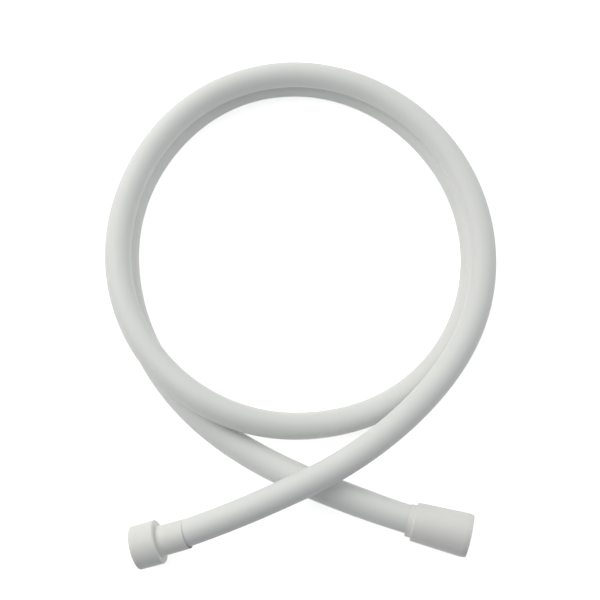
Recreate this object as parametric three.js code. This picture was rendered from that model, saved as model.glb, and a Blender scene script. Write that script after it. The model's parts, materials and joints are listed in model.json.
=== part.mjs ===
// Smooth white shower hose, put down on a flat surface in two round turns that lie one on the
// other, with a round swivel nut on its tap end and a conical swivel nut on its handset end.
// Both nuts are 1/2 inch. Millimetres, +Z up, and the surface that it lies on is z = 0.
import * as THREE from 'three';

// Clearance between pieces that touch or fit into each other
const CLEARANCE = 0.3;

// Hose: one plain tube
const HOSE_OUTER_D = 15.5;
const HOSE_WALL = 2.75;
const HOSE_SIDES = 12;
const HOSE_STEPS = 80;
const STRAIGHT_RUN = 3; // the hose leaves its ferrule straight for this length

// Female 1/2 inch pipe socket, alike in both nuts
const SOCKET_CREST_D = 18.63; // crests of the thread
const SOCKET_GROOVE_D = 21; // run-out groove behind the thread
const SOCKET_MOUTH_D = 21.2; // chamfer at the open end
const SOCKET_CHAMFER = 1;
const SOCKET_DEPTH = 12; // from the open end to the nut's inner shoulder
const GROOVE_WIDTH = 3.4;
const SHOULDER_WALL = 2; // the inner shoulder that pulls on the tail's flange

// Flat sealing washer
const WASHER_THICKNESS = 2;
const WASHER_HOLE_D = 11;

// Hose tail: flange, neck and barbed spigot, turned as one piece
const FLANGE_THICKNESS = 2;
const NECK_D = 13;
const WATERWAY_D = 7;
const SPIGOT_LENGTH = 14;
const BARB_COUNT = 4;
const BARB_DEPTH = 0.45;

// Ferrule: thin cup round the hose end
const FERRULE_WALL = 0.4;
const FERRULE_LENGTH = 15.6;
const FERRULE_FLOOR = 0.8;
const FERRULE_LIP = 0.2; // rounding of its open edge

// Round nut on the tap end
const TAP_NUT_D = 23.9;
const TAP_NUT_FRONT_ROUND = 0.8;
const TAP_NUT_BACK_ROUND = 0.8;

// Conical nut on the handset end
const CONE_WIDE_D = 24.2;
const CONE_NARROW_D = 21.5;
const CONE_LENGTH = 31.2;
const CONE_RIM_LENGTH = 2.6; // the wide end draws in over this length
const CONE_RIM_DRAW = 0.7;
const CONE_STEP_CHAMFER = 0.4;
const COLLAR_D = 18.9;
const COLLAR_LENGTH = 3.4;
const COLLAR_ROUND = 0.3;
const COLLAR_MOUTH_CHAMFER = 0.2;

const FACETS = 36; // sides of every turned piece
const ROUND_STEPS = 3; // chords in a rounded edge

// Where the two open ends lie, and the way that each fitting runs from its open end to the hose
const TAP_END_X = -89.6;
const TAP_END_Y = -145.4;
const TAP_HEADING = 13.95; // degrees from +X
const TAP_TILT = 11; // degrees up towards the hose, which rises to cross over a lower strand
const HANDSET_END_X = 93;
const HANDSET_END_Y = -139.1;
const HANDSET_HEADING = 164.95;

// Sizes that follow
const HOSE_BORE_D = HOSE_OUTER_D - 2 * HOSE_WALL;
const SLIP_D = SOCKET_CREST_D - 2 * CLEARANCE; // what passes in through the thread
const SHOULDER_HOLE_D = NECK_D + 2 * CLEARANCE;
const FERRULE_BORE_D = HOSE_OUTER_D + 2 * CLEARANCE;
const FERRULE_D = FERRULE_BORE_D + 2 * FERRULE_WALL;
const BARB_D = HOSE_BORE_D - 2 * CLEARANCE;
const SPIGOT_D = BARB_D - 2 * BARB_DEPTH;
const CONE_CAVITY_D = FERRULE_D + 2 * CLEARANCE;
const CONE_HALF_ANGLE = Math.atan((CONE_WIDE_D - CONE_NARROW_D) / 2 / (CONE_LENGTH - CONE_RIM_LENGTH));

// Stations along a fitting, from its open end towards the hose
const GROOVE_START = SOCKET_DEPTH - GROOVE_WIDTH;
const NUT_BACK = SOCKET_DEPTH + SHOULDER_WALL;
const FLANGE_BACK = SOCKET_DEPTH - CLEARANCE;
const FLANGE_FRONT = FLANGE_BACK - FLANGE_THICKNESS;
const WASHER_BACK = FLANGE_FRONT - CLEARANCE;
const WASHER_FRONT = WASHER_BACK - WASHER_THICKNESS;
const FERRULE_START = NUT_BACK + CLEARANCE;
const NECK_END = FERRULE_START + FERRULE_FLOOR;
const HOSE_FACE = NECK_END + CLEARANCE;
const FERRULE_END = FERRULE_START + FERRULE_LENGTH;
const SPIGOT_TIP = NECK_END + SPIGOT_LENGTH;
const COLLAR_END = CONE_LENGTH + COLLAR_LENGTH;

const material = (color, roughness, metalness = 0) =>
  new THREE.MeshStandardMaterial({ color, roughness, metalness });

const HOSE_PLASTIC = material(0xdddeda, 0.42);
const NUT_PLASTIC = material(0xe0e0dc, 0.38);
const FERRULE_PLASTIC = material(0xdfe0dc, 0.36);
const BRASS = material(0xc9a55c, 0.3, 1);
const RUBBER = material(0x2b2b2c, 0.8);

// Quarter circle about (r, w) in a turned profile, from one angle to another in degrees
function rounding(r, w, radius, from, to) {
  return Array.from({ length: ROUND_STEPS + 1 }, (_, i) => {
    const angle = THREE.MathUtils.degToRad(from + ((to - from) * i) / ROUND_STEPS);
    return [r + radius * Math.cos(angle), w + radius * Math.sin(angle)];
  });
}

// A piece turned about the fitting's axis, from a closed outline of [radius, station] points
function turned(name, outline, finish) {
  const points = [...outline, outline[0]].map(([r, w]) => new THREE.Vector2(r, w));
  const piece = new THREE.Mesh(new THREE.LatheGeometry(points, FACETS), finish);
  piece.name = name;
  return piece;
}

// Inside of a nut from its back to its mouth: shoulder hole, shoulder, groove, thread, chamfer
const SOCKET_INSIDE = [
  [SHOULDER_HOLE_D / 2, NUT_BACK],
  [SHOULDER_HOLE_D / 2, SOCKET_DEPTH],
  [SOCKET_GROOVE_D / 2, SOCKET_DEPTH],
  [SOCKET_GROOVE_D / 2, GROOVE_START],
  [SOCKET_CREST_D / 2, GROOVE_START - (SOCKET_GROOVE_D - SOCKET_CREST_D) / 2],
  [SOCKET_CREST_D / 2, SOCKET_CHAMFER],
  [SOCKET_MOUTH_D / 2, 0],
];

function tapNut() {
  const r = TAP_NUT_D / 2;
  const front = TAP_NUT_FRONT_ROUND;
  const back = TAP_NUT_BACK_ROUND;
  return turned('tap_nut', [
    ...rounding(r - front, front, front, -90, 0),
    ...rounding(r - back, NUT_BACK - back, back, 0, 90),
    ...SOCKET_INSIDE,
  ], NUT_PLASTIC);
}

function handsetNut() {
  const collar = COLLAR_D / 2;
  return turned('handset_nut', [
    [CONE_WIDE_D / 2 - CONE_RIM_DRAW, 0],
    [CONE_WIDE_D / 2 - CONE_RIM_DRAW * 0.35, CONE_RIM_LENGTH * 0.35],
    [CONE_WIDE_D / 2, CONE_RIM_LENGTH],
    [CONE_NARROW_D / 2, CONE_LENGTH - CONE_STEP_CHAMFER],
    [CONE_NARROW_D / 2 - CONE_STEP_CHAMFER, CONE_LENGTH],
    [collar, CONE_LENGTH],
    ...rounding(collar - COLLAR_ROUND, COLLAR_END - COLLAR_ROUND, COLLAR_ROUND, 0, 90),
    [CONE_CAVITY_D / 2 + COLLAR_MOUTH_CHAMFER, COLLAR_END],
    [CONE_CAVITY_D / 2, COLLAR_END - COLLAR_MOUTH_CHAMFER],
    [CONE_CAVITY_D / 2, NUT_BACK],
    ...SOCKET_INSIDE,
  ], NUT_PLASTIC);
}

function washer(name) {
  return turned(name, [
    [WASHER_HOLE_D / 2, WASHER_FRONT],
    [SLIP_D / 2, WASHER_FRONT],
    [SLIP_D / 2, WASHER_BACK],
    [WASHER_HOLE_D / 2, WASHER_BACK],
  ], RUBBER);
}

// Each barb rises steeply on its flange side and slopes down towards the spigot's tip
function barbs() {
  const pitch = (SPIGOT_TIP - NECK_END) / BARB_COUNT;
  const land = pitch * 0.15;
  return Array.from({ length: BARB_COUNT }, (_, i) => {
    const start = NECK_END + i * pitch;
    return [
      [SPIGOT_D / 2, start],
      [SPIGOT_D / 2, start + land],
      [BARB_D / 2, start + 2 * land],
      [BARB_D / 2, start + 3 * land],
    ];
  }).flat();
}

function tail(name) {
  return turned(name, [
    [WATERWAY_D / 2, FLANGE_FRONT],
    [SLIP_D / 2, FLANGE_FRONT],
    [SLIP_D / 2, FLANGE_BACK],
    [NECK_D / 2, FLANGE_BACK],
    [NECK_D / 2, NECK_END],
    ...barbs(),
    [SPIGOT_D / 2, SPIGOT_TIP],
    [WATERWAY_D / 2, SPIGOT_TIP],
  ], BRASS);
}

function ferrule(name) {
  const mouth = FERRULE_END - FERRULE_LIP;
  return turned(name, [
    [SHOULDER_HOLE_D / 2, FERRULE_START],
    [FERRULE_D / 2 - FERRULE_WALL, FERRULE_START],
    [FERRULE_D / 2, FERRULE_START + FERRULE_WALL],
    ...rounding(FERRULE_D / 2 - FERRULE_LIP, mouth, FERRULE_LIP, 0, 90),
    [FERRULE_BORE_D / 2, FERRULE_END],
    [FERRULE_BORE_D / 2, NECK_END],
    [SHOULDER_HOLE_D / 2, NECK_END],
  ], FERRULE_PLASTIC);
}

// A fitting's own frame: its axis from the open end to the hose is +Y, and +Z is its upper side
function fittingFrame(x, y, z, heading, tilt) {
  const turn = THREE.MathUtils.degToRad(heading);
  const along = new THREE.Vector3(
    Math.cos(turn) * Math.cos(tilt), Math.sin(turn) * Math.cos(tilt), Math.sin(tilt));
  const side = new THREE.Vector3(Math.sin(turn), -Math.cos(turn), 0);
  const upper = new THREE.Vector3().crossVectors(side, along);
  return new THREE.Matrix4().makeBasis(side, along, upper).setPosition(x, y, z);
}

// The round nut rests on its front rim. The cone lies on its slope, so its axis sinks to the hose.
const TAP_TILT_ANGLE = THREE.MathUtils.degToRad(TAP_TILT);
const TAP_END_Z = (TAP_NUT_D / 2 - TAP_NUT_FRONT_ROUND) * Math.cos(TAP_TILT_ANGLE)
  + TAP_NUT_FRONT_ROUND * (1 - Math.sin(TAP_TILT_ANGLE));
const TAP_FRAME = fittingFrame(TAP_END_X, TAP_END_Y, TAP_END_Z, TAP_HEADING, TAP_TILT_ANGLE);
const HANDSET_END_Z =
  (CONE_WIDE_D / 2) * Math.cos(CONE_HALF_ANGLE) + CONE_RIM_LENGTH * Math.sin(CONE_HALF_ANGLE);
const HANDSET_FRAME = fittingFrame(
  HANDSET_END_X, HANDSET_END_Y, HANDSET_END_Z, HANDSET_HEADING, -CONE_HALF_ANGLE);

function fitting(frame, pieces) {
  const group = new THREE.Group();
  group.applyMatrix4(frame);
  group.add(...pieces);
  return group;
}

// Route of the hose: x, y and level. Level 0 lies on the surface and level 1 on a lower turn.
const ROUTE = [
  // up from the tap nut, over the end that leads to the conical nut
  [-44.1, -132.2, 0.828],
  [-23.3, -124.2, 0.974],
  [-3.9, -115.7, 1.02],
  [13.7, -107.1, 1.02],
  [35.8, -93.6, 1],
  // the upper turn, up the right side and down the left
  [64.6, -69.8, 1],
  [99.6, -19.7, 1],
  [107.7, 40.5, 1],
  [86.9, 97, 1],
  [43.8, 135.1, 1],
  [-11.9, 146.4, 1],
  [-64.7, 125.2, 1],
  [-99.3, 76.6, 1],
  [-107.3, 16.4, 1],
  // down off the lower turn on its inner side
  [-97.1, -19.3, 1],
  [-78.3, -47, 1],
  [-51.3, -67.6, 0.925],
  [-21.4, -77.2, 0.61],
  [13.5, -76.3, 0.18],
  // the lower turn
  [49.6, -64.6, 0.02],
  [84.2, -34.7, 0.003],
  [105.1, 20.9, 0.001],
  [95.9, 78.8, 0],
  [62.8, 123.9, 0],
  [14.6, 147.7, 0],
  [-39.4, 142.4, 0],
  [-82.8, 106.8, 0],
  [-104.8, 52.4, 0],
  [-101.6, 0.8, 0],
  // away outside the upper turn, and under the tap end to the conical nut
  [-85.4, -38, 0],
  [-59, -70.2, 0.001],
  [-27, -93.5, 0],
  [14.2, -112.9, 0.01],
  [39.1, -122.4, 0.055],
];

function hosePath() {
  const lowest = HOSE_OUTER_D / 2;
  const rise = HOSE_OUTER_D + CLEARANCE;
  const along = (frame, station) => new THREE.Vector3(0, station, 0).applyMatrix4(frame);
  const path = new THREE.CatmullRomCurve3([
    along(TAP_FRAME, HOSE_FACE),
    along(TAP_FRAME, FERRULE_END + STRAIGHT_RUN),
    ...ROUTE.map(([x, y, level]) => new THREE.Vector3(x, y, lowest + rise * level)),
    along(HANDSET_FRAME, COLLAR_END),
    along(HANDSET_FRAME, HOSE_FACE),
  ], false, 'centripetal');
  path.arcLengthDivisions = 3000;
  return path;
}

// The bore is drawn round its circle, so that its flats clear the spigots
function hose() {
  const ring = (radius) => Array.from({ length: HOSE_SIDES }, (_, i) => {
    const angle = (2 * Math.PI * i) / HOSE_SIDES;
    return new THREE.Vector2(radius * Math.cos(angle), radius * Math.sin(angle));
  });
  const section = new THREE.Shape(ring(HOSE_OUTER_D / 2));
  section.holes.push(new THREE.Path(ring(HOSE_BORE_D / 2 / Math.cos(Math.PI / HOSE_SIDES))));
  const geometry = new THREE.ExtrudeGeometry(section, {
    steps: HOSE_STEPS,
    bevelEnabled: false,
    extrudePath: hosePath(),
  });
  const tube = new THREE.Mesh(geometry, HOSE_PLASTIC);
  tube.name = 'hose';
  return tube;
}

const showerHose = new THREE.Group();
showerHose.add(
  hose(),
  fitting(TAP_FRAME, [tapNut(), washer('tap_washer'), tail('tap_tail'), ferrule('tap_ferrule')]),
  fitting(HANDSET_FRAME, [
    handsetNut(), washer('handset_washer'), tail('handset_tail'), ferrule('handset_ferrule')]),
);

export default showerHose;
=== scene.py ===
"""Smooth white shower hose, laid down in two round turns that lie one on the other.

A round swivel nut is on its tap end and a conical swivel nut on its handset end. The surface that
the hose lies on is z = 0. Metres, +Z up, +Y from the two nuts towards the far side of the turns.
The hose and its fittings are sized in millimetres, which MM turns into metres.
"""

import json
import logging
import math
from dataclasses import dataclass, field
from enum import Enum

import bmesh
import bpy
import numpy as np
from mathutils import Matrix, Vector


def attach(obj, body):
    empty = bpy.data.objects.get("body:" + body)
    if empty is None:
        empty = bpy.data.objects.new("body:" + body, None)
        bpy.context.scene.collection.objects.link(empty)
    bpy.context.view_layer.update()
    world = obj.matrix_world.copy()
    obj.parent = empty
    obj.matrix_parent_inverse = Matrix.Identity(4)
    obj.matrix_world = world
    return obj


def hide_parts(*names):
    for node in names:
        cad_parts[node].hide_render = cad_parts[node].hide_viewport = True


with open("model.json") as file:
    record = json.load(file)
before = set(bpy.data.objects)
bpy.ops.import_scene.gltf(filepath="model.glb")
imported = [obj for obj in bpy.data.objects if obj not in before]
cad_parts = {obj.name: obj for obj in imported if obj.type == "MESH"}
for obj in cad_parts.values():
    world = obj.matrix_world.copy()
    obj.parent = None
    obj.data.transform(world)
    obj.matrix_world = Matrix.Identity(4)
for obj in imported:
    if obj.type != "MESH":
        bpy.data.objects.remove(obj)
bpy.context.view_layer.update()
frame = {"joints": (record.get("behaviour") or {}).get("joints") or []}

log = logging.getLogger("shower_hose")

MM = 0.001
SAME_PLACE = 2e-6  # metres within which a vertex counts as one of a ring's
OWN_SPACE = "own_space"  # vertex attribute: a piece's own coordinates, before it is put in place

Colour = tuple[float, float, float]


class Slot(Enum):
    """Material slots of the record."""

    HOSE = "hose_plastic"
    NUT = "nut_plastic"
    FERRULE = "ferrule_plastic"
    TAIL = "tail_brass"
    WASHER = "washer_rubber"


class Body(Enum):
    """Bodies that a piece can ride on."""

    HOSE = "hose"
    TAP_NUT = "tap_nut"
    HANDSET_NUT = "handset_nut"


class End(Enum):
    """The hose's two ends, by the start of their nodes' names."""

    TAP = "tap"
    HANDSET = "handset"


class Effect(Enum):
    """Surface effects, by the names of their shader groups."""

    BLOTCHES = "uneven_surface"
    DRAWN_LINES = "drawn_lines"
    MOULDED_GRAIN = "moulded_grain"


# Shader groups


@dataclass(frozen=True)
class Socket:
    """One socket of a shader group."""

    name: str
    kind: str = "NodeSocketFloat"
    value: float | tuple[float, float, float] = 0.0


def new_group(effect: Effect, inputs: list[Socket], output: Socket) -> bpy.types.NodeTree:
    """Make an empty shader group, which reads a vector, with its sockets.

    Args:
        effect: what the group is for.
        inputs: its inputs after the vector, with their default values.
        output: its output.

    Returns:
        The group, which holds a Group Input and a Group Output node.
    """
    group = bpy.data.node_groups.new(effect.value, "ShaderNodeTree")
    for socket in (Socket("Vector", "NodeSocketVector", (0, 0, 0)), *inputs):
        made = group.interface.new_socket(socket.name, in_out="INPUT", socket_type=socket.kind)
        made.default_value = socket.value
    group.interface.new_socket(output.name, in_out="OUTPUT", socket_type=output.kind)
    group.nodes.new("NodeGroupInput").name = "in"
    group.nodes.new("NodeGroupOutput").name = "out"
    return group


def add_node(tree: bpy.types.NodeTree, kind: str, **values: object) -> bpy.types.Node:
    """Add a node and set its properties and unlinked sockets.

    Args:
        tree: the node tree.
        kind: the node's type, without "ShaderNode".
        values: properties by name, and sockets by name with spaces written as underscores.

    Returns:
        The new node.
    """
    node = tree.nodes.new("ShaderNode" + kind)
    for name, value in values.items():
        socket = next((s for s in node.inputs if s.name.replace(" ", "_") == name and s.enabled), None)
        if socket is None:
            setattr(node, name, value)
        else:
            socket.default_value = value
    return node


def link(tree: bpy.types.NodeTree, *pairs: tuple[bpy.types.NodeSocket, bpy.types.NodeSocket]) -> None:
    """Join each (output, input) pair of sockets."""
    for output, target in pairs:
        tree.links.new(output, target)


def mixed_colour(tree: bpy.types.NodeTree, share: bpy.types.NodeSocket, first: Colour,
                 second: Colour) -> bpy.types.NodeSocket:
    """Mix two colours.

    Args:
        tree: the node tree.
        share: the output that says how much of the second colour shows, from 0 to 1.
        first: the first colour.
        second: the second colour.

    Returns:
        The output that gives the mixed colour.
    """
    mix = add_node(tree, "Mix", data_type="RGBA")
    colours = [socket for socket in mix.inputs if socket.type == "RGBA"]
    colours[0].default_value = (*first, 1)
    colours[1].default_value = (*second, 1)
    link(tree, (share, mix.inputs[0]))
    return next(socket for socket in mix.outputs if socket.type == "RGBA")


def blotch_group() -> bpy.types.NodeTree:
    """Soft blotches, as handling and moulding leave on a plastic surface.

    Returns:
        A group that gives a mask from 0 to 1.
    """
    group = new_group(
        Effect.BLOTCHES,
        [Socket("Scale", value=40.0), Socket("Low", value=0.35), Socket("High", value=0.65)],
        Socket("Mask"))
    source, out = group.nodes["in"], group.nodes["out"]
    cloud = add_node(group, "TexNoise", Detail=3.0, Roughness=0.55, Distortion=0.4)
    spread = add_node(group, "MapRange", interpolation_type="SMOOTHSTEP")
    link(group,
         (source.outputs["Vector"], cloud.inputs["Vector"]),
         (source.outputs["Scale"], cloud.inputs["Scale"]),
         (cloud.outputs["Fac"], spread.inputs["Value"]),
         (source.outputs["Low"], spread.inputs["From Min"]),
         (source.outputs["High"], spread.inputs["From Max"]),
         (spread.outputs["Result"], out.inputs["Mask"]))
    return group


def drawn_line_group() -> bpy.types.NodeTree:
    """Fine lines that run along a drawn piece, or round a turned one.

    Returns:
        A group that gives a height from 0 to 1, from own coordinates whose Z is the piece's axis.
    """
    group = new_group(
        Effect.DRAWN_LINES, [Socket("Across", value=900.0), Socket("Along", value=6.0)],
        Socket("Height"))
    source, out = group.nodes["in"], group.nodes["out"]
    scale = add_node(group, "CombineXYZ")
    stretch = add_node(group, "VectorMath", operation="MULTIPLY")
    lines = add_node(group, "TexNoise", Scale=1.0, Detail=4.0, Roughness=0.6)
    link(group,
         (source.outputs["Across"], scale.inputs["X"]),
         (source.outputs["Across"], scale.inputs["Y"]),
         (source.outputs["Along"], scale.inputs["Z"]),
         (source.outputs["Vector"], stretch.inputs[0]),
         (scale.outputs["Vector"], stretch.inputs[1]),
         (stretch.outputs["Vector"], lines.inputs["Vector"]),
         (lines.outputs["Fac"], out.inputs["Height"]))
    return group


def moulded_grain_group(grain_share: float = 0.35) -> bpy.types.NodeTree:
    """Fine grain of a moulded skin, over a slight waviness.

    Args:
        grain_share: the grain's share of the height. The rest is the waviness.

    Returns:
        A group that gives a height from 0 to 1.
    """
    group = new_group(
        Effect.MOULDED_GRAIN, [Socket("Grain", value=2500.0), Socket("Wave", value=120.0)],
        Socket("Height"))
    source, out = group.nodes["in"], group.nodes["out"]
    fine = add_node(group, "TexNoise", Detail=2.0, Roughness=0.5)
    wave = add_node(group, "TexNoise", Detail=1.0, Roughness=0.4)
    both = add_node(group, "Math", operation="MULTIPLY_ADD")
    both.inputs[1].default_value = grain_share
    waviness = add_node(group, "Math", operation="MULTIPLY")
    waviness.inputs[1].default_value = 1 - grain_share
    link(group,
         (source.outputs["Vector"], fine.inputs["Vector"]),
         (source.outputs["Vector"], wave.inputs["Vector"]),
         (source.outputs["Grain"], fine.inputs["Scale"]),
         (source.outputs["Wave"], wave.inputs["Scale"]),
         (wave.outputs["Fac"], waviness.inputs[0]),
         (fine.outputs["Fac"], both.inputs[0]),
         (waviness.outputs["Value"], both.inputs[2]),
         (both.outputs["Value"], out.inputs["Height"]))
    return group


# Finishes


@dataclass(frozen=True)
class Finish:
    """A surface finish, whose colour, gloss and relief vary over the piece's own coordinates."""

    name: str
    slot: Slot
    colour: Colour
    shade: Colour  # of its blotches
    roughness: tuple[float, float]  # least and most
    blotch_scale: float
    relief: Effect
    relief_scale: tuple[float, float]
    relief_depth: float  # millimetres
    metallic: float = 0.0
    specular: float = 0.5
    gloss_mark_fineness: float = 2.7  # scale of the marks in the gloss, over that of the blotches
    gloss_mark_range: tuple[float, float] = (0.3, 0.7)

    def material(self, groups: dict[Effect, bpy.types.NodeTree]) -> bpy.types.Material:
        """Build the material.

        Args:
            groups: the shader groups by effect.

        Returns:
            The material, named as the finish.
        """
        made = bpy.data.materials.new(self.name)
        made.use_nodes = True
        tree = made.node_tree
        shader = tree.nodes["Principled BSDF"]
        shader.inputs["Metallic"].default_value = self.metallic
        shader.inputs["Specular IOR Level"].default_value = self.specular
        blotches = self.place_group(tree, groups[Effect.BLOTCHES])
        blotches.inputs["Scale"].default_value = self.blotch_scale
        gloss_marks = self.place_group(tree, groups[Effect.BLOTCHES])
        gloss_marks.inputs["Scale"].default_value = self.blotch_scale * self.gloss_mark_fineness
        gloss_marks.inputs["Low"].default_value = self.gloss_mark_range[0]
        gloss_marks.inputs["High"].default_value = self.gloss_mark_range[1]
        gloss = add_node(tree, "MapRange", To_Min=self.roughness[0], To_Max=self.roughness[1])
        relief = self.place_group(tree, groups[self.relief])
        for socket, scale in zip(relief.inputs[1:], self.relief_scale):
            socket.default_value = scale
        bump = add_node(tree, "Bump", Strength=1.0, Distance=self.relief_depth * MM)
        tint = mixed_colour(tree, blotches.outputs["Mask"], self.colour, self.shade)
        link(tree,
             (tint, shader.inputs["Base Color"]),
             (gloss_marks.outputs["Mask"], gloss.inputs["Value"]),
             (gloss.outputs["Result"], shader.inputs["Roughness"]),
             (relief.outputs["Height"], bump.inputs["Height"]),
             (bump.outputs["Normal"], shader.inputs["Normal"]))
        return made

    def place_group(self, tree: bpy.types.NodeTree, group: bpy.types.NodeTree) -> bpy.types.Node:
        """Place a shader group that reads the piece's own coordinates.

        Args:
            tree: the material's nodes.
            group: the shader group.

        Returns:
            The group's node.
        """
        own = add_node(tree, "Attribute", attribute_name=OWN_SPACE)
        node = tree.nodes.new("ShaderNodeGroup")
        node.node_tree = group
        link(tree, (own.outputs["Vector"], node.inputs["Vector"]))
        return node


HOSE_FINISH = Finish(
    "smooth_white_hose", Slot.HOSE, colour=(0.814, 0.834, 0.811), shade=(0.797, 0.817, 0.794),
    roughness=(0.44, 0.52), blotch_scale=14.0, relief=Effect.DRAWN_LINES, relief_scale=(700.0, 9.0),
    relief_depth=0.02, specular=0.36)
NUT_FINISH = Finish(
    "moulded_white_nut", Slot.NUT, colour=(0.82, 0.831, 0.798), shade=(0.798, 0.81, 0.778),
    roughness=(0.46, 0.55), blotch_scale=45.0, relief=Effect.MOULDED_GRAIN, relief_scale=(2600.0, 160.0),
    relief_depth=0.03, specular=0.36)
FERRULE_FINISH = Finish(
    "moulded_white_ferrule", Slot.FERRULE, colour=(0.822, 0.832, 0.794), shade=(0.803, 0.813, 0.776),
    roughness=(0.44, 0.52), blotch_scale=50.0, relief=Effect.MOULDED_GRAIN, relief_scale=(2200.0, 140.0),
    relief_depth=0.02, specular=0.36)
BRASS_FINISH = Finish(
    "turned_brass", Slot.TAIL, colour=(0.72, 0.52, 0.22), shade=(0.60, 0.41, 0.17),
    roughness=(0.22, 0.36), blotch_scale=90.0, relief=Effect.DRAWN_LINES, relief_scale=(60.0, 3800.0),
    relief_depth=0.02, metallic=1.0)
RUBBER_FINISH = Finish(
    "black_washer_rubber", Slot.WASHER, colour=(0.022, 0.022, 0.023), shade=(0.035, 0.035, 0.035),
    roughness=(0.62, 0.8), blotch_scale=70.0, relief=Effect.MOULDED_GRAIN, relief_scale=(1800.0, 260.0),
    relief_depth=0.05)


# Modelling


def start_clean() -> None:
    """Leave nothing selected, so that operators act on the new piece alone."""
    if bpy.context.mode != "OBJECT":
        bpy.ops.object.mode_set(mode="OBJECT")
    bpy.ops.object.select_all(action="DESELECT")


def face_outwards() -> None:
    """Turn all faces of the piece in edit mode outwards."""
    bpy.ops.mesh.select_all(action="SELECT")
    bpy.ops.mesh.normals_make_consistent(inside=False)


def shade_round(edge_angle: float) -> None:
    """Leave edit mode, and shade the piece smooth but for edges sharper than an angle in degrees."""
    bpy.ops.object.mode_set(mode="OBJECT")
    bpy.ops.object.shade_smooth_by_angle(angle=math.radians(edge_angle))


def keep_own_space(mesh: bpy.types.Mesh, places: np.ndarray) -> None:
    """Keep a piece's own coordinates as an attribute, for its finish to read.

    Args:
        mesh: the piece's mesh.
        places: each vertex's own coordinates, one vertex a row.
    """
    attribute = mesh.attributes.new(OWN_SPACE, "FLOAT_VECTOR", "POINT")
    attribute.data.foreach_set("vector", places.astype(np.float32).ravel())


def dress(piece: bpy.types.Object, body: Body, slot: Slot,
          materials: dict[Slot, bpy.types.Material], node: str | None = None) -> None:
    """Give a piece its material, body, slot and the node that it stands for.

    Args:
        piece: the finished piece, in place.
        body: the body that it rides on.
        slot: the record's material slot.
        materials: the materials by slot.
        node: the node that it replaces, if any.
    """
    piece.data.materials.clear()
    piece.data.materials.append(materials[slot])
    if node:
        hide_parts(node)
    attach(piece, body.value)
    log.info("%s rides on %s", piece.name, body.value)


@dataclass(frozen=True)
class Ring:
    """One ring of a turned outline: radius and station in millimetres, and its edge's rounding."""

    radius: float
    station: float
    rounding: float = 0.0


@dataclass
class TurnedPiece:
    """A piece turned about +Z, made ring by ring from a circle, then rounded at its edges."""

    name: str
    rings: list[Ring]
    sides: int
    round_steps: int
    edge_angle: float = 32.0

    def build(self) -> bpy.types.Object:
        """Model the piece about +Z, with its stations up the axis.

        Returns:
            The closed piece, with its faces outwards.
        """
        start_clean()
        first = self.rings[0]
        bpy.ops.mesh.primitive_circle_add(
            vertices=self.sides, radius=first.radius * MM, fill_type="NOTHING",
            location=(0, 0, first.station * MM))
        piece = bpy.context.object
        piece.name = piece.data.name = self.name
        bpy.ops.object.transform_apply(location=True)
        bpy.ops.object.mode_set(mode="EDIT")
        bpy.ops.mesh.select_all(action="SELECT")
        for before, ring in zip(self.rings, self.rings[1:]):
            growth = ring.radius / before.radius
            bpy.ops.mesh.extrude_edges_move()
            bpy.ops.transform.translate(value=(0, 0, (ring.station - before.station) * MM))
            bpy.ops.transform.resize(
                value=(growth, growth, 1), center_override=(0, 0, ring.station * MM))
        bpy.ops.mesh.select_all(action="DESELECT")
        bpy.ops.mesh.select_mode(type="EDGE")
        bpy.ops.mesh.select_non_manifold()
        bpy.ops.mesh.bridge_edge_loops()
        face_outwards()
        for ring in self.rings:
            if ring.rounding:
                self.round_edge(piece, ring)
        shade_round(self.edge_angle)
        return piece

    def round_edge(self, piece: bpy.types.Object, ring: Ring) -> None:
        """Bevel the edge loop of one ring.

        Args:
            piece: the piece, in edit mode.
            ring: the ring whose edge is rounded.
        """
        bpy.ops.mesh.select_all(action="DESELECT")
        mesh = bmesh.from_edit_mesh(piece.data)
        for vertex in mesh.verts:
            radius = math.hypot(vertex.co.x, vertex.co.y)
            vertex.select = (abs(radius - ring.radius * MM) < SAME_PLACE
                             and abs(vertex.co.z - ring.station * MM) < SAME_PLACE)
        mesh.select_mode = {"EDGE"}
        for edge in mesh.edges:
            edge.select = edge.verts[0].select and edge.verts[1].select
        bmesh.update_edit_mesh(piece.data)
        bpy.ops.mesh.bevel(
            offset=ring.rounding * MM, offset_type="OFFSET", segments=self.round_steps, profile=0.5,
            clamp_overlap=True)


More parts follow.
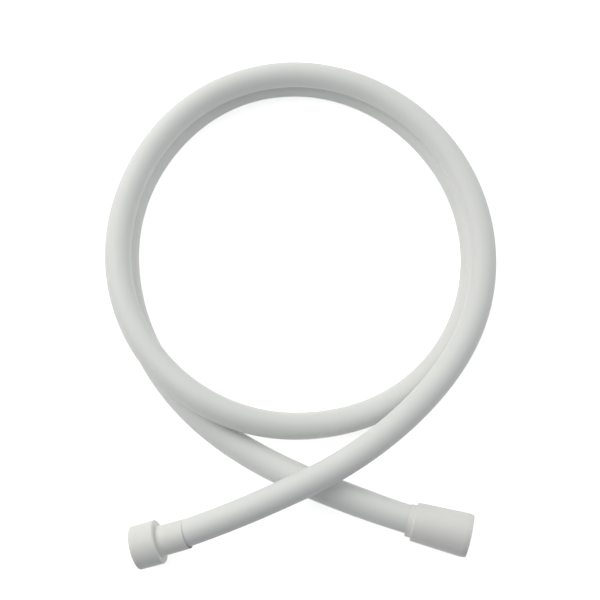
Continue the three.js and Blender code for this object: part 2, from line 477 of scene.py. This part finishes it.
@dataclass
class InnerThread:
    """The ridge of a 1/2 inch pipe thread in a nut, wound with a Screw modifier."""

    name: str
    crest_d: float = 18.63
    root_d: float = 20.955
    pitch: float = 1.814
    start: float = 0.9
    turns: int = 4
    steps: int = 72
    sunk: float = 0.06  # how deep the ridge's foot lies in the nut's wall
    foot_half: float = 0.78  # half the ridge's width at its foot
    shoulder_half: float = 0.24  # half its width where its crest's rounding starts
    crest_half: float = 0.12
    crest_rounding: float = 0.16
    fade: float = 0.17  # share of a turn over which each end runs out into the wall
    least_height: float = 0.02  # share of its height that the ridge keeps at its very ends
    edge_angle: float = 40.0

    def build(self) -> bpy.types.Object:
        """Wind the ridge about +Z.

        Returns:
            The closed ridge, slightly sunk in the nut's wall.
        """
        wall = self.root_d / 2 + self.sunk
        crest = self.crest_d / 2
        flank = [(wall, self.foot_half), (crest + self.crest_rounding, self.shoulder_half),
                 (crest, self.crest_half)]
        section = [(radius, -half) for radius, half in flank] + flank[::-1]
        start_clean()
        bpy.ops.mesh.primitive_circle_add(
            vertices=len(section), radius=crest * MM, fill_type="NOTHING")
        piece = bpy.context.object
        piece.name = piece.data.name = self.name
        for vertex, (radius, rise) in zip(piece.data.vertices, section):
            vertex.co = (radius * MM, 0, (self.start + rise) * MM)
        screw = piece.modifiers.new("winding", "SCREW")
        screw.axis = "Z"
        screw.screw_offset = self.pitch * MM
        screw.iterations = self.turns
        screw.steps = screw.render_steps = self.steps
        screw.use_merge_vertices = False
        bpy.ops.object.modifier_apply(modifier=screw.name)
        self.run_out(piece, wall * MM)
        bpy.ops.object.mode_set(mode="EDIT")
        bpy.ops.mesh.select_mode(type="EDGE")
        bpy.ops.mesh.select_all(action="DESELECT")
        bpy.ops.mesh.select_non_manifold()
        bpy.ops.mesh.edge_face_add()
        face_outwards()
        shade_round(self.edge_angle)
        return piece

    def run_out(self, piece: bpy.types.Object, wall: float) -> None:
        """Sink both ends of the ridge into the wall.

        Args:
            piece: the wound ridge.
            wall: radius at which the ridge is hidden, in metres.
        """
        for vertex in piece.data.vertices:
            radius = math.hypot(vertex.co.x, vertex.co.y)
            angle = math.atan2(vertex.co.y, vertex.co.x) / (2 * math.pi)
            rise = (vertex.co.z / MM - self.start) / self.pitch
            turned = round(rise - angle) + angle
            reach = min(turned, self.turns - turned) / self.fade
            if reach < 1:
                sunk = wall - (wall - radius) * max(reach, self.least_height)
                vertex.co.x *= sunk / radius
                vertex.co.y *= sunk / radius


# Sizes of the fittings


@dataclass
class Fitting:
    """Sizes that both fittings share, in millimetres, by station from the open end to the hose."""

    end: End
    joint: dict
    nut_body: Body
    socket_depth: float = 12.0
    nut_back: float = 14.0
    washer: tuple[float, float] = (7.4, 9.4)  # its first and last station, as for the next two
    flange: tuple[float, float] = (9.7, 11.7)
    ferrule: tuple[float, float] = (14.1, 29.9)
    neck_end: float = 15.1
    hose_face: float = 15.4
    spigot_tip: float = 29.1
    collar_end: float = 34.6  # where the hose leaves the conical nut
    lean_left: float = 0.0  # degrees that the hose's end leans in the loose nut
    lean_up: float = 0.0
    shift_left: float = 0.0  # how far the hose comes out beside the axis
    swing_left: float = 0.0  # and how much farther it lies just past that

    @property
    def place(self) -> Matrix:
        """The fitting's place, from its nut's joint.

        Returns:
            Its frame: +Z is the axis from the open end to the hose, and +Y points to its upper side.
        """
        along = Vector(self.joint["axis"]).normalized()
        left = Vector((0, 0, 1)).cross(along).normalized()
        turn = Matrix((left, along.cross(left), along)).transposed().to_4x4()
        return Matrix.Translation(self.joint["pos_m"]) @ turn

    @property
    def hose_place(self) -> Matrix:
        """The place of what is pressed on the hose.

        Returns:
            Its frame, which leans about the middle of the nut's back.
        """
        pivot = Matrix.Translation((0, 0, self.nut_back * MM))
        left = Matrix.Rotation(math.radians(self.lean_left), 4, "Y")
        upwards = Matrix.Rotation(math.radians(-self.lean_up), 4, "X")
        return self.place @ pivot @ left @ upwards @ pivot.inverted()

    def at(self, station: float, left: float = 0.0) -> Vector:
        """The middle of the hose at a station, or a point beside it."""
        return self.hose_place @ Vector((left * MM, 0, station * MM))


# Hose


def distance_along(points: np.ndarray) -> np.ndarray:
    """Distance of each point of a path from its first, along the path."""
    return np.concatenate([[0], np.cumsum(np.linalg.norm(np.diff(points, axis=0), axis=1))])


def natural_spline(knots: np.ndarray, values: np.ndarray, at: np.ndarray) -> np.ndarray:
    """Cubic spline with continuous bend, and straight ends.

    Args:
        knots: rising parameter of each point.
        values: the points, one a row.
        at: parameters at which the curve is wanted.

    Returns:
        The curve's points.
    """
    count = len(knots)
    gap = np.diff(knots)
    matrix = np.eye(count)
    right = np.zeros_like(values)
    for i in range(1, count - 1):
        matrix[i, i - 1:i + 2] = gap[i - 1], 2 * (gap[i - 1] + gap[i]), gap[i]
        right[i] = 6 * ((values[i + 1] - values[i]) / gap[i] - (values[i] - values[i - 1]) / gap[i - 1])
    bend = np.linalg.solve(matrix, right)
    span = np.clip(np.searchsorted(knots, at, side="right") - 1, 0, count - 2)
    width = gap[span][:, None]
    b = (at - knots[span])[:, None] / width
    a = 1 - b
    curve = a * values[span] + b * values[span + 1]
    return curve + ((a ** 3 - a) * bend[span] + (b ** 3 - b) * bend[span + 1]) * width ** 2 / 6


def swept_frames(path: np.ndarray) -> tuple[np.ndarray, np.ndarray]:
    """Two directions across a path at each point: a level one, and one to its upper side.

    Args:
        path: the path's points.

    Returns:
        Side and upper directions.
    """
    along = np.gradient(path, axis=0)
    along /= np.linalg.norm(along, axis=1)[:, None]
    up = np.array([0.0, 0.0, 1.0])
    side = np.cross(along, up)
    side /= np.linalg.norm(side, axis=1)[:, None]
    return side, np.cross(side, along)


def ring_faces(rows: int, sides: int) -> np.ndarray:
    """Faces between rings of vertices, of which the last joins the first.

    Args:
        rows: number of rings.
        sides: vertices of each ring.

    Returns:
        Four vertices a face, one face a row.
    """
    first = np.arange(rows * sides).reshape(rows, sides)
    following = np.roll(first, -1, axis=0)
    corners = [first, np.roll(first, -1, axis=1), np.roll(following, -1, axis=1), following]
    return np.stack(corners, axis=-1).reshape(-1, 4)


@dataclass
class Hose:
    """The hose: one plain tube along its lay, with sizes in millimetres."""

    tap: Fitting
    handset: Fitting
    outer_d: float = 15.5
    bore_d: float = 10.0
    clearance: float = 0.3
    straight_run: float = 3.0  # on each side of the tap ferrule's mouth
    end_chamfer: float = 0.35
    # outer diameter at shares of its length: slimmer at the tap end, fuller towards the cone
    thickness: list[tuple[float, float]] = field(default_factory=lambda: [
        (0, 15.1), (0.075, 15.1), (0.14, 15.5), (0.86, 15.5), (0.91, 15.95), (0.963, 16.75),
        (0.978, 16.25), (0.989, 15.6), (1, 15.5)])
    blend: float = 0.012  # share of its length, before and behind, over which a thickness is blended
    blend_samples: int = 9
    curve_samples: int = 12000
    step: float = 2.0
    bore_steps: int = 4  # steps from one ring of the bore to the next
    sides: int = 48
    edge_angle: float = 35.0
    # x, y and level: level 0 lies on the surface and level 1 on a lower turn
    route: list[tuple[float, float, float]] = field(default_factory=lambda: [
        # up from the tap nut, over the end that leads to the conical nut
        (-44.1, -132.2, 0.828), (-23.3, -124.2, 0.974), (-3.9, -115.7, 1.02), (13.7, -107.1, 1.02),
        (35.8, -93.6, 1),
        # the upper turn, up the right side and down the left
        (64.6, -69.8, 1), (99.6, -19.7, 1), (107.7, 40.5, 1), (86.9, 97, 1), (43.8, 135.1, 1),
        (-11.9, 146.4, 1), (-64.7, 125.2, 1), (-99.3, 76.6, 1), (-107.3, 16.4, 1),
        # down off the lower turn on its inner side
        (-97.1, -19.3, 1), (-78.3, -47, 1), (-51.3, -67.6, 0.925), (-21.4, -77.2, 0.61),
        (13.5, -76.3, 0.18),
        # the lower turn
        (49.6, -64.6, 0.02), (84.2, -34.7, 0.003), (105.1, 20.9, 0.001), (95.9, 78.8, 0),
        (62.8, 123.9, 0), (14.6, 147.7, 0), (-39.4, 142.4, 0), (-82.8, 106.8, 0), (-104.8, 52.4, 0),
        (-101.6, 0.8, 0),
        # away outside the upper turn, and under the tap end to the conical nut
        (-85.4, -38, 0), (-59, -70.2, 0.001), (-27, -93.5, 0), (14.2, -112.9, 0.01),
        (39.1, -122.4, 0.055),
    ])

    def knots(self) -> np.ndarray:
        """Put the lay between the two fittings.

        Returns:
            The points that the centreline passes through, in metres.
        """
        low = self.outer_d / 2
        rise = self.outer_d + self.clearance
        lay = [Vector((x, y, low + rise * level)) * MM for x, y, level in self.route]
        points = [
            self.tap.at(self.tap.hose_face),
            self.tap.at(self.tap.ferrule[1] - self.straight_run, self.tap.shift_left),
            self.tap.at(self.tap.ferrule[1] + self.straight_run,
                        self.tap.shift_left + self.tap.swing_left),
            *lay,
            self.handset.at(self.handset.collar_end, self.handset.shift_left),
            self.handset.at(self.handset.hose_face)]
        return np.array(points)

    def centreline(self) -> np.ndarray:
        """A smooth curve through the knots, in equal steps and nowhere under the surface.

        Returns:
            Its points, from the tap end to the handset end.
        """
        knots = self.knots()
        chord = distance_along(knots)
        curve = natural_spline(chord, knots, np.linspace(0, chord[-1], self.curve_samples))
        along = distance_along(curve)
        curve[:, 2] = np.maximum(curve[:, 2], self.radius_at(along))
        steps = round(along[-1] / (self.step * MM))
        even = np.linspace(0, along[-1], steps + 1)
        return np.column_stack([np.interp(even, along, curve[:, i]) for i in range(3)])

    def radius_at(self, along: np.ndarray) -> np.ndarray:
        """Outer radius along the hose.

        Args:
            along: distances from the tap end to the handset end, in metres.

        Returns:
            Radii in metres.
        """
        shares, widths = np.array(self.thickness).T
        around = np.linspace(-self.blend, self.blend, self.blend_samples)
        blended = np.interp((along / along[-1])[:, None] + around, shares, widths)
        return blended.mean(axis=1) / 2 * MM

    def stations(self, radii: np.ndarray) -> list[tuple[int, float]]:
        """The tube's rings: along its outside, and back through its bore.

        Args:
            radii: its outer radius at each point of its path.

        Returns:
            Each ring's point, by its number on the path, and its radius.
        """
        last = len(radii) - 1
        chamfer = self.end_chamfer * MM
        bore = self.bore_d / 2 * MM
        outside = [(0, radii[0] - chamfer), *enumerate(radii), (last, radii[last] - chamfer)]
        return outside + [(i, bore) for i in (*range(last, 0, -self.bore_steps), 0)]

    def build(self, materials: dict[Slot, bpy.types.Material]) -> tuple[bpy.types.Object, np.ndarray]:
        """Sweep the tube's outer and inner walls along its path, close its ends and dress it.

        Args:
            materials: the finishes' materials by slot.

        Returns:
            The hose, and its path's points.
        """
        path = self.centreline()
        along = distance_along(path)
        stations = self.stations(self.radius_at(along))
        side, upper = swept_frames(path)
        angle = np.linspace(0, 2 * math.pi, self.sides, endpoint=False)
        places, own = [], []
        for i, radius in stations:
            left, raised = radius * np.cos(angle)[:, None], radius * np.sin(angle)[:, None]
            places.append(path[i] + left * side[i] + raised * upper[i])
            own.append(np.column_stack([left, raised, np.full(self.sides, along[i])]))
        mesh = bpy.data.meshes.new("hose_tube")
        mesh.from_pydata(
            np.concatenate(places).tolist(), [], ring_faces(len(stations), self.sides).tolist())
        keep_own_space(mesh, np.concatenate(own))
        mesh.update()
        piece = bpy.data.objects.new("hose_tube", mesh)
        bpy.context.scene.collection.objects.link(piece)
        start_clean()
        piece.select_set(True)
        bpy.context.view_layer.objects.active = piece
        bpy.ops.object.mode_set(mode="EDIT")
        face_outwards()
        shade_round(self.edge_angle)
        dress(piece, Body.HOSE, Slot.HOSE, materials, "hose")
        return piece, path


# Pieces of the fittings


@dataclass
class FittingPieces:
    """Nut, thread, washer, tail and ferrule of one end, with sizes in millimetres."""

    fitting: Fitting
    thread: InnerThread
    lead_in: tuple[float, float] = (0.3, 0.45)  # width and depth of the chamfer in the nut's mouth
    shoulder_hole_d: float = 13.6
    shoulder_rounding: tuple[float, float] = (0.3, 0.2)  # at the nut's back and in its socket
    slip_d: float = 18.03  # what passes in through the thread
    washer_hole_d: float = 11.0
    disc_rounding: float = 0.25  # of the washer and the tail's flange
    waterway_d: float = 7.0
    waterway_rounding: tuple[float, float] = (0.35, 0.2)  # at the flange and at the tip
    neck_d: float = 13.0
    neck_rounding: float = 0.3
    spigot_d: float = 8.5
    tip_chamfer: float = 0.3
    barb_d: float = 9.4
    barbs: int = 4
    # where a barb rises, where its crest starts and ends, and where it is down, in shares of its pitch
    barb_shares: tuple[float, float, float, float] = (0.15, 0.22, 0.4, 0.98)
    barb_rounding: tuple[float, float] = (0.06, 0.1)
    ferrule_foot_d: float = 16.6
    ferrule_mouth_d: float = 16.3
    ferrule_bore_d: float = 15.6
    ferrule_rounding: tuple[float, float, float] = (0.06, 0.08, 0.04)  # foot, mouth's outer, inner edge
    foot_fillet: float = 0.45
    fillet_middle: tuple[float, float] = (0.35, 0.7)  # width and height there, in shares of the fillet
    fillet_height: float = 2.0
    flare: tuple[float, float] = (0.15, 1.5)  # width and depth of the bore's flare at the mouth
    lean_run: float = 6.0  # length of ferrule over which it turns into its lean

    def socket_rings(self) -> list[Ring]:
        """Inside of a nut from its back to its mouth.

        Returns:
            The rings of its shoulder's hole, its shoulder, its socket and its lead-in.
        """
        hole, root = self.shoulder_hole_d / 2, self.thread.root_d / 2
        return [
            Ring(hole, self.fitting.nut_back, self.shoulder_rounding[0]),
            Ring(hole, self.fitting.socket_depth, self.shoulder_rounding[1]),
            Ring(root, self.fitting.socket_depth),
            Ring(root, self.lead_in[1])]

    def mouth_ring(self) -> Ring:
        """The inner edge of a nut's open face."""
        return Ring(self.thread.root_d / 2 + self.lead_in[0], 0)

    def nut_rings(self) -> list[Ring]:
        """Outline of the nut."""
        raise NotImplementedError

    def washer_rings(self) -> list[Ring]:
        """Outline of the flat washer.

        Returns:
            Its rings, all rounded alike.
        """
        front, back = self.fitting.washer
        hole, outside = self.washer_hole_d / 2, self.slip_d / 2
        corners = ((hole, front), (outside, front), (outside, back), (hole, back))
        return [Ring(radius, station, self.disc_rounding) for radius, station in corners]

    def tail_rings(self) -> list[Ring]:
        """Outline of the turned tail.

        Returns:
            The rings of its flange, neck, barbs and waterway.
        """
        front, back = self.fitting.flange
        start, tip = self.fitting.neck_end, self.fitting.spigot_tip
        water, neck, spigot = self.waterway_d / 2, self.neck_d / 2, self.spigot_d / 2
        rings = [
            Ring(water, front, self.waterway_rounding[0]),
            Ring(self.slip_d / 2, front, self.disc_rounding),
            Ring(self.slip_d / 2, back, self.disc_rounding), Ring(neck, back),
            Ring(neck, start, self.neck_rounding), Ring(spigot, start)]
        pitch = (tip - start) / self.barbs
        rise, crest_start, crest_end, down = (share * pitch for share in self.barb_shares)
        for barb in range(self.barbs):
            foot = start + barb * pitch
            rings += [
                Ring(spigot, foot + rise),
                Ring(self.barb_d / 2, foot + crest_start, self.barb_rounding[0]),
                Ring(self.barb_d / 2, foot + crest_end, self.barb_rounding[1]),
                Ring(spigot, foot + down)]
        return rings + [Ring(spigot - self.tip_chamfer, tip), Ring(water, tip, self.waterway_rounding[1])]

    def ferrule_rings(self) -> list[Ring]:
        """Outline of the thin cup round the hose's end, with a fillet round its foot.

        Returns:
            Its rings, up its outside and down its bore.
        """
        start, end = self.fitting.ferrule
        hole, bore = self.shoulder_hole_d / 2, self.ferrule_bore_d / 2
        foot, mouth = self.ferrule_foot_d / 2, self.ferrule_mouth_d / 2
        foot_edge, outer_edge, inner_edge = self.ferrule_rounding
        middle = [share * self.foot_fillet for share in self.fillet_middle]
        return [
            Ring(hole, start), Ring(foot + self.foot_fillet, start, foot_edge),
            Ring(foot + middle[0], start + middle[1]),
            Ring(foot, start + self.foot_fillet * self.fillet_height),
            Ring(mouth, end, outer_edge), Ring(bore + self.flare[0], end, inner_edge),
            Ring(bore, end - self.flare[1]),
            Ring(bore, self.fitting.neck_end), Ring(hole, self.fitting.neck_end)]

    def build(self, materials: dict[Slot, bpy.types.Material]) -> list[bpy.types.Object]:
        """Model, place and dress every piece of the fitting.

        Args:
            materials: the finishes' materials by slot.

        Returns:
            The pieces that lie on the hose's end.
        """
        end = self.fitting.end.value
        nut_body = self.fitting.nut_body
        work = [
            (TurnedPiece(f"{end}_nut_shell", self.nut_rings(), sides=128, round_steps=5),
             f"{end}_nut", nut_body, Slot.NUT),
            (self.thread, None, nut_body, Slot.NUT),
            (TurnedPiece(f"{end}_seal", self.washer_rings(), sides=72, round_steps=3),
             f"{end}_washer", nut_body, Slot.WASHER),
            (TurnedPiece(f"{end}_barbed_tail", self.tail_rings(), sides=72, round_steps=2),
             f"{end}_tail", Body.HOSE, Slot.TAIL),
            (TurnedPiece(f"{end}_sleeve", self.ferrule_rings(), sides=112, round_steps=3),
             f"{end}_ferrule", Body.HOSE, Slot.FERRULE)]
        pieces = []
        for model, node, body, slot in work:
            piece = model.build()
            keep_own_space(piece.data, np.array([vertex.co for vertex in piece.data.vertices]))
            if slot is Slot.FERRULE:
                self.bend_to_hose(piece)
            else:
                piece.data.transform(self.fitting.place)
            dress(piece, body, slot, materials, node)
            pieces.append(piece)
        return pieces

    def bend_to_hose(self, piece: bpy.types.Object) -> None:
        """Place the ferrule: its foot lies flat on the nut's back, and its mouth leans with the hose.

        Args:
            piece: the ferrule, about +Z.
        """
        straight, leaning = self.fitting.place, self.fitting.hose_place
        for vertex in piece.data.vertices:
            reach = (vertex.co.z / MM - self.fitting.ferrule[0]) / self.lean_run
            share = min(max(reach, 0), 1)
            share = share * share * (3 - 2 * share)
            vertex.co = (straight @ vertex.co).lerp(leaning @ vertex.co, share)


@dataclass
class TapFitting(FittingPieces):
    """The round nut and what it holds."""

    nut_d: float = 24.0
    front_rounding: float = 0.6
    back_rounding: float = 0.8

    def nut_rings(self) -> list[Ring]:
        """Outline of the round nut.

        Returns:
            Its rings, up its outside and down its inside.
        """
        radius = self.nut_d / 2
        return [
            self.mouth_ring(), Ring(radius, 0, self.front_rounding),
            Ring(radius, self.fitting.nut_back, self.back_rounding), *self.socket_rings()]


@dataclass
class HandsetFitting(FittingPieces):
    """The conical nut, with its collar round the hose, and what it holds."""

    wide_d: float = 24.2
    narrow_d: float = 21.5
    length: float = 31.2
    rim_length: float = 2.6
    rim_draw: float = 0.4
    cone_rounding: tuple[float, float, float] = (0.14, 0.15, 0.1)  # mouth, rim's back, narrow end
    collar_d: float = 18.2
    collar_hole_d: float = 16.6
    collar_fillet: tuple[float, float] = (0.35, 0.6)  # width and height
    collar_taper: float = 0.1
    collar_rounding: tuple[float, float] = (0.12, 0.15)  # outer and inner edge of its end
    cavity_clearance: float = 0.3  # round the ferrule
    lip_clearance: float = 0.5  # from the ferrule's mouth to the collar's inner end
    lip_chamfer: float = 0.3

    def nut_rings(self) -> list[Ring]:
        """Outline of the conical nut.

        Returns:
            Its rings, up its outside and down its inside.
        """
        wide, narrow, collar = self.wide_d / 2, self.narrow_d / 2, self.collar_d / 2
        hole, collar_end = self.collar_hole_d / 2, self.fitting.collar_end
        mouth_edge, rim_edge, narrow_edge = self.cone_rounding
        cavity = self.ferrule_foot_d / 2 + self.foot_fillet + self.cavity_clearance
        lip = self.fitting.ferrule[1] + self.lip_clearance
        return [
            self.mouth_ring(), Ring(wide - self.rim_draw, 0, mouth_edge),
            Ring(wide, self.rim_length, rim_edge), Ring(narrow, self.length, narrow_edge),
            Ring(collar + self.collar_fillet[0], self.length),
            Ring(collar, self.length + self.collar_fillet[1]),
            Ring(collar - self.collar_taper, collar_end, self.collar_rounding[0]),
            Ring(hole, collar_end, self.collar_rounding[1]), Ring(hole, lip),
            Ring(cavity, lip - self.lip_chamfer), Ring(cavity, self.fitting.nut_back),
            *self.socket_rings()]


# Studio


@dataclass(frozen=True)
class Lamp:
    """A round soft lamp that points at the hose."""

    name: str
    place: tuple[float, float, float]
    size: float
    power: float
    colour: Colour

    def build(self) -> None:
        """Add the lamp."""
        start_clean()
        bpy.ops.object.light_add(type="AREA", location=self.place)
        lamp = bpy.context.object
        lamp.name = self.name
        lamp.data.shape = "DISK"
        lamp.data.size = self.size
        lamp.data.energy = self.power
        lamp.data.color = self.colour
        lamp.rotation_euler = (-Vector(self.place)).to_track_quat("-Z", "Y").to_euler()


@dataclass
class Studio:
    """Floor, light and camera, in metres."""

    camera_place: tuple[float, float, float] = (0.0, -0.20495, 0.57133)
    camera_down: float = 70.0  # degrees below the horizon
    camera_lens: float = 60.0  # millimetres, as the sensor
    camera_sensor: float = 36.0
    camera_near: float = 0.01
    floor_size: float = 40.0
    floor_front: float = -0.178  # its near edge, just out of the camera's view
    floor_drop: float = 0.0002
    floor_colour: Colour = (0.9, 0.9, 0.9)
    floor_glow: float = 0.68
    world_strength: float = 0.295
    world_colour: Colour = (0.925, 0.93, 1.0)
    lamps: list[Lamp] = field(default_factory=lambda: [
        Lamp("left_softbox", (-1.2, 1.2, 1.2), size=2.4, power=19.5, colour=(1.0, 0.935, 0.89)),
        Lamp("near_left_softbox", (-0.6, 0.1, 0.8), size=0.8, power=2.55, colour=(0.97, 1.0, 0.94)),
        Lamp("right_softbox", (1.4, 0.8, 1.2), size=2.4, power=11.1, colour=(0.98, 1.0, 0.95))])

    def build(self) -> None:
        """Make the floor, the lights and the camera."""
        self.floor()
        self.world()
        for lamp in self.lamps:
            lamp.build()
        self.camera()

    def seen_directly(self, tree: bpy.types.NodeTree) -> bpy.types.NodeSocket:
        """A mask of the rays that show the background: camera, glossy and transmission rays.

        Args:
            tree: the node tree.

        Returns:
            The output that gives 1 for such a ray and 0 for any other.
        """
        path = add_node(tree, "LightPath")
        first = add_node(tree, "Math", operation="MAXIMUM")
        both = add_node(tree, "Math", operation="MAXIMUM")
        link(tree,
             (path.outputs["Is Camera Ray"], first.inputs[0]),
             (path.outputs["Is Glossy Ray"], first.inputs[1]),
             (first.outputs["Value"], both.inputs[0]),
             (path.outputs["Is Transmission Ray"], both.inputs[1]))
        return both.outputs["Value"]

    def floor(self) -> None:
        """A pale floor that keeps the hose's shadow."""
        start_clean()
        bpy.ops.mesh.primitive_plane_add(size=self.floor_size, location=(
            0, self.floor_front + self.floor_size / 2, -self.floor_drop))
        plane = bpy.context.object
        plane.name = "studio_floor"
        made = bpy.data.materials.new("studio_floor")
        made.use_nodes = True
        tree = made.node_tree
        shader = tree.nodes["Principled BSDF"]
        shader.inputs["Base Color"].default_value = (*self.floor_colour, 1)
        shader.inputs["Roughness"].default_value = 1
        shader.inputs["Specular IOR Level"].default_value = 0
        shader.inputs["Emission Color"].default_value = (1, 1, 1, 1)
        glow = add_node(tree, "Math", operation="MULTIPLY")
        glow.inputs[1].default_value = self.floor_glow
        link(tree,
             (self.seen_directly(tree), glow.inputs[0]),
             (glow.outputs["Value"], shader.inputs["Emission Strength"]))
        plane.data.materials.append(made)

    def world(self) -> None:
        """Even pale surroundings, which a camera or mirror ray sees as white."""
        world = bpy.data.worlds.new("studio")
        bpy.context.scene.world = world
        world.use_nodes = True
        tree = world.node_tree
        background = tree.nodes["Background"]
        seen = self.seen_directly(tree)
        level = add_node(tree, "MapRange", To_Min=self.world_strength, To_Max=1.0)
        link(tree,
             (mixed_colour(tree, seen, self.world_colour, (1, 1, 1)), background.inputs["Color"]),
             (seen, level.inputs["Value"]),
             (level.outputs["Result"], background.inputs["Strength"]))

    def camera(self) -> None:
        """The photograph's viewing angle."""
        start_clean()
        bpy.ops.object.camera_add(
            location=self.camera_place, rotation=(math.radians(90 - self.camera_down), 0, 0))
        camera = bpy.context.object
        camera.data.lens = self.camera_lens
        camera.data.sensor_width = self.camera_sensor
        camera.data.clip_start = self.camera_near
        bpy.context.scene.camera = camera


def main() -> None:
    """Build the hose, its two fittings and the studio."""
    bpy.context.scene.view_settings.view_transform = "Standard"
    groups = {
        Effect.BLOTCHES: blotch_group(),
        Effect.DRAWN_LINES: drawn_line_group(),
        Effect.MOULDED_GRAIN: moulded_grain_group()}
    finishes = (HOSE_FINISH, NUT_FINISH, FERRULE_FINISH, BRASS_FINISH, RUBBER_FINISH)
    materials = {finish.slot: finish.material(groups) for finish in finishes}
    joints = {joint["child"]: joint for joint in frame["joints"]}
    tap = Fitting(End.TAP, joints["tap_nut"], Body.TAP_NUT, ferrule=(14.12, 30.1), lean_left=-0.5,
                  lean_up=4.0, shift_left=0.35, swing_left=0.3)
    handset = Fitting(End.HANDSET, joints["handset_nut"], Body.HANDSET_NUT, shift_left=-0.5)
    Studio().build()
    hose = Hose(tap, handset)
    tube, path = hose.build(materials)
    TapFitting(tap, InnerThread("tap_nut_thread")).build(materials)
    far_pieces = HandsetFitting(handset, InnerThread("handset_nut_thread")).build(materials)
    log.info("centreline %.1f mm", distance_along(path)[-1] / MM)


if __name__ == "__main__":
    logging.basicConfig(level=logging.INFO, format="%(message)s")
    main()
